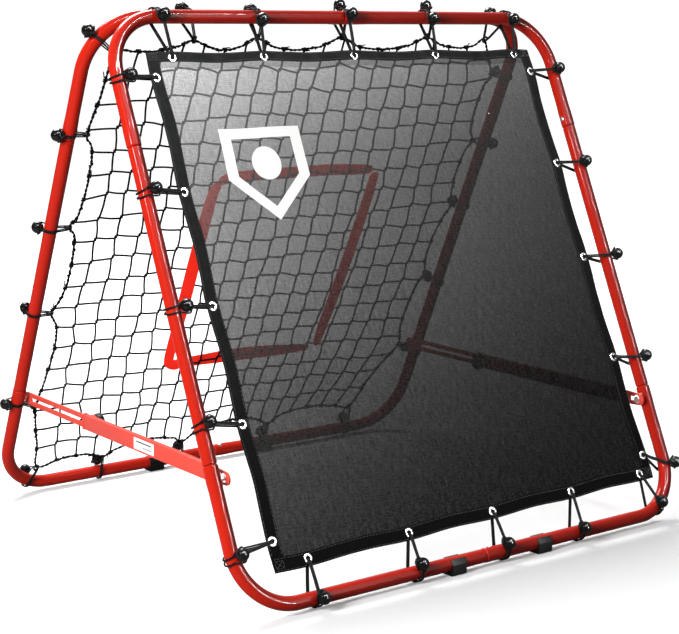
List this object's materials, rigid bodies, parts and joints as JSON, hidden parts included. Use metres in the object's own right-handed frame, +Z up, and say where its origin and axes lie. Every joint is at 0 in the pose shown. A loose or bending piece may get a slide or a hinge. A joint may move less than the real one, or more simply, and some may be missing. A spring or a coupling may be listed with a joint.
{
  "type": "pitch back rebounder",
  "caption": "A-frame ball rebounder: a laced mesh panel in the front tube frame, a knotted net with a strike zone in the rear one, hinged along the top with slotted side braces",
  "frame": {"origin": "on the floor, under the centre of the whole object's bounding box", "axes": "+Z up; +X to the right of a player who faces the mesh panel; the mesh panel faces -Y and the net faces +Y"},
  "size_m": [1.0118, 0.9098, 0.9456],
  "materials": {
    "red_paint": "glossy red powder coat",
    "bungee": "black elastic cord with a satin black plastic ball",
    "foot": "matt black moulded rubber",
    "panel_mesh": "fine black woven mesh, part see-through",
    "hem": "black webbing edge with metal eyelets",
    "net": "black knotted twine inside an edge rope",
    "zone_strap": "red flat webbing",
    "knob": "black moulded plastic",
    "bolt": "bright zinc plate"
  },
  "bodies": {
    "rear_frame_body": {"left_brace_pivot": "bolt", "left_hinge_bolt": "bolt", "left_hinge_lug_rear": "red_paint", "rear_corner_bottom_left": "red_paint", "rear_corner_bottom_right": "red_paint", "rear_corner_top_left": "red_paint", "rear_corner_top_right": "red_paint", "rear_foot_left": "foot", "rear_foot_right": "foot", "rear_leg_left": "red_paint", "rear_leg_right": "red_paint", "rear_net": "net", "right_brace_pivot": "bolt", "right_hinge_bolt": "bolt", "right_hinge_lug_rear": "red_paint", "strike_zone_strap": "zone_strap"},
    "front_frame_body": {"front_bungee_bottom_1": "bungee", "front_bungee_bottom_2": "bungee", "front_bungee_bottom_3": "bungee", "front_bungee_bottom_4": "bungee", "front_bungee_bottom_5": "bungee", "front_bungee_left_1": "bungee", "front_bungee_left_2": "bungee", "front_bungee_left_3": "bungee", "front_bungee_left_4": "bungee", "front_bungee_left_5": "bungee", "front_bungee_right_1": "bungee", "front_bungee_right_2": "bungee", "front_bungee_right_3": "bungee", "front_bungee_right_4": "bungee", "front_bungee_right_5": "bungee", "front_bungee_top_1": "bungee", "front_bungee_top_2": "bungee", "front_bungee_top_3": "bungee", "front_bungee_top_4": "bungee", "front_bungee_top_5": "bungee", "front_corner_bottom_left": "red_paint", "front_corner_bottom_right": "red_paint", "front_corner_top_left": "red_paint", "front_corner_top_right": "red_paint", "front_foot_left": "foot", "front_foot_right": "foot", "front_leg_left": "red_paint", "front_leg_right": "red_paint", "front_panel_mesh": "panel_mesh", "left_brace_stud": "bolt", "left_hinge_lug_front": "red_paint", "panel_hem_bottom": "hem", "panel_hem_left": "hem", "panel_hem_right": "hem", "panel_hem_top": "hem", "right_brace_stud": "bolt", "right_hinge_lug_front": "red_paint"},
    "left_bar": {"left_brace_bar": "red_paint"},
    "left_sleeve": {"left_brace_sleeve": "red_paint"},
    "left_knob": {"left_brace_knob": "knob"},
    "right_bar": {"right_brace_bar": "red_paint"},
    "right_sleeve": {"right_brace_sleeve": "red_paint"},
    "right_knob": {"right_brace_knob": "knob"}
  },
  "joints": [
    {"name": "frame_fold", "type": "hinge", "parent": "rear_frame_body", "child": "front_frame_body", "pos_m": [0, 0.00846, 0.92504], "axis": [-1, 0, 0], "range_deg": [-12.5, 6.5]},
    {"name": "left_bar_swing", "type": "hinge", "parent": "rear_frame_body", "child": "left_bar", "pos_m": [-0.467, 0.35151, 0.21289], "axis": [-1, 0, 0], "range_deg": [-6.5, 3.5]},
    {"name": "left_sleeve_slide", "type": "slide", "parent": "left_bar", "child": "left_sleeve", "axis": [0, -1, 0], "range_m": [-0.158, 0.083]},
    {"name": "left_knob_turn", "type": "hinge", "parent": "left_sleeve", "child": "left_knob", "pos_m": [-0.455, 0.10446, 0.21289], "axis": [-1, 0, 0], "continuous": true},
    {"name": "right_bar_swing", "type": "hinge", "parent": "rear_frame_body", "child": "right_bar", "pos_m": [0.467, 0.35151, 0.21289], "axis": [-1, 0, 0], "range_deg": [-6.5, 3.5]},
    {"name": "right_sleeve_slide", "type": "slide", "parent": "right_bar", "child": "right_sleeve", "axis": [0, -1, 0], "range_m": [-0.158, 0.083]},
    {"name": "right_knob_turn", "type": "hinge", "parent": "right_sleeve", "child": "right_knob", "pos_m": [0.455, 0.10446, 0.21289], "axis": [1, 0, 0], "continuous": true}
  ],
  "couplings": [
    {"joint": "left_bar_swing", "follows": "frame_fold", "ratio": 0.5},
    {"joint": "left_sleeve_slide", "follows": "frame_fold", "m_per_rad": 0.719},
    {"joint": "right_bar_swing", "follows": "frame_fold", "ratio": 0.5},
    {"joint": "right_sleeve_slide", "follows": "frame_fold", "m_per_rad": 0.719}
  ]
}
